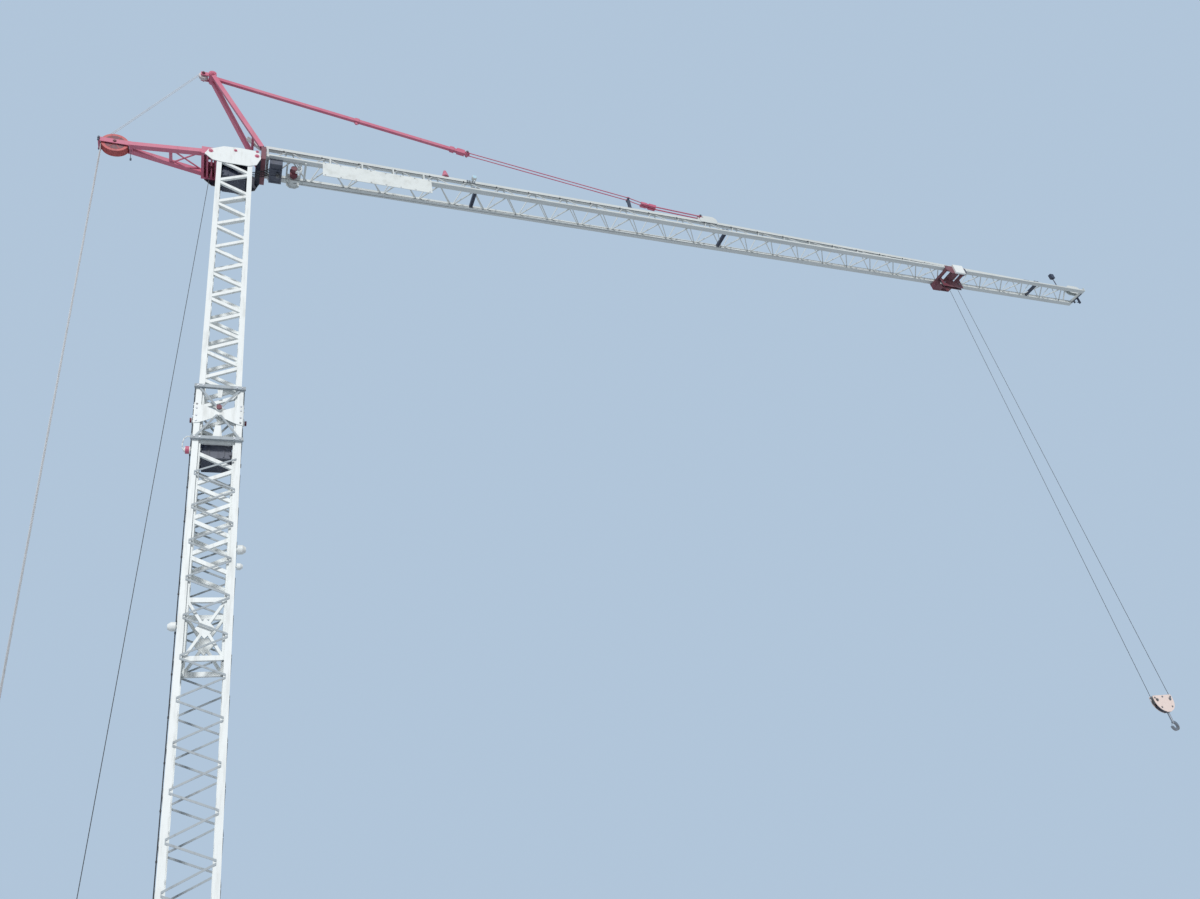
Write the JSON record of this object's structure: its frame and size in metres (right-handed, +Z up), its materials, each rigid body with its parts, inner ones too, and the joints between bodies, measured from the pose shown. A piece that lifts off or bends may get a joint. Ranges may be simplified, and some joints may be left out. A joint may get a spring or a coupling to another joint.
{
  "type": "tower crane, 1:2 scale model",
  "caption": "Self-erecting tower crane: telescoped lattice mast on an outrigger base, tied lattice jib with trolley and hook, rear strut and guys.",
  "frame": {"origin": "on the slewing axis, at ground level, in the plane of the foot plates' undersides", "axes": "+X along the jib, +Z up, +Y to the jib's left seen from the mast"},
  "size_m": [25.6421, 2.51, 19.1399],
  "materials": {
    "white_paint": "satin white paint, a little chalky",
    "jib_paint": "satin pale grey paint",
    "grey_paint": "satin grey paint",
    "red_paint": "faded red paint",
    "dark_red_paint": "dark red paint",
    "navy_paint": "dark navy paint",
    "banner_sheet": "plain pale sheet",
    "block_paint": "faded cream-pink paint",
    "bare_steel": "greased steel",
    "wire_rope": "stranded wire rope",
    "slide_plastic": "black slide plastic",
    "concrete": "cast concrete"
  },
  "bodies": {
    "chassis": {"foot_plates": "grey_paint", "jack_screws": "bare_steel", "chassis_frame": "red_paint", "slewing_ring": "bare_steel"},
    "platform": {"turntable": "grey_paint", "platform_frame": "red_paint", "ballast_slabs": "concrete", "hoist_winch": "bare_steel", "control_cabinet": "white_paint", "lower_mast_foot": "white_paint", "lower_mast_legs": "white_paint", "lower_mast_near_lacing": "grey_paint", "lower_mast_far_lacing": "grey_paint", "lower_mast_rear_lacing": "grey_paint", "lower_mast_front_lacing": "grey_paint", "mast_collars": "grey_paint", "collar_plates": "white_paint", "collar_braces": "grey_paint", "collar_pins": "dark_red_paint", "guide_pads": "slide_plastic", "mast_lamps": "white_paint", "guy_ropes": "wire_rope", "hoist_rope": "wire_rope"},
    "upper_mast": {"upper_mast_tubes": "white_paint", "upper_mast_near_lacing": "white_paint", "upper_mast_far_lacing": "white_paint", "upper_mast_rear_lacing": "white_paint", "upper_mast_front_lacing": "white_paint", "upper_mast_foot": "white_paint", "mast_head": "white_paint", "rear_strut": "red_paint", "guy_sheaves": "dark_red_paint", "apex_frame": "red_paint", "apex_ropes": "wire_rope", "jib_portal": "dark_red_paint", "jib_tie_bar": "red_paint", "jib_tie_rods": "red_paint", "jib_top_chord": "jib_paint", "jib_lower_chords": "jib_paint", "jib_near_lacing": "jib_paint", "jib_far_lacing": "jib_paint", "jib_floor_lacing": "jib_paint", "jib_cross_frames": "navy_paint", "jib_machinery": "navy_paint", "jib_banner": "banner_sheet", "tie_bracket": "jib_paint", "trolley_winch": "jib_paint", "trolley_motor": "dark_red_paint", "jib_lamp": "jib_paint", "jib_cone": "red_paint", "jib_nose": "jib_paint"},
    "trolley": {"trolley_frame": "dark_red_paint", "trolley_box": "white_paint", "trolley_wheels": "bare_steel", "trolley_sheaves": "bare_steel", "hoist_falls": "wire_rope"},
    "hook_block": {"hook_block": "block_paint", "block_sheaves": "bare_steel"},
    "hook": {"hook": "bare_steel"}
  },
  "joints": [
    {"name": "slew", "type": "hinge", "parent": "chassis", "child": "platform", "pos_m": [0, 0, 0.59], "axis": [0, 0, 1], "continuous": true},
    {"name": "mast_telescope", "type": "slide", "parent": "platform", "child": "upper_mast", "axis": [0, 0, 1], "range_m": [-5, 0], "deforming": ["guy_ropes", "hoist_rope"]},
    {"name": "trolley_travel", "type": "slide", "parent": "upper_mast", "child": "trolley", "axis": [1, 0, 0], "range_m": [-16.05, 4.45]},
    {"name": "hoist", "type": "slide", "parent": "trolley", "child": "hook_block", "axis": [0, 0, -1], "range_m": [-11.05, 4], "deforming": ["hoist_falls"]},
    {"name": "hook_swivel", "type": "hinge", "parent": "hook_block", "child": "hook", "pos_m": [18.05, 0, 4.3], "axis": [0, 0, 1], "continuous": true}
  ]
}
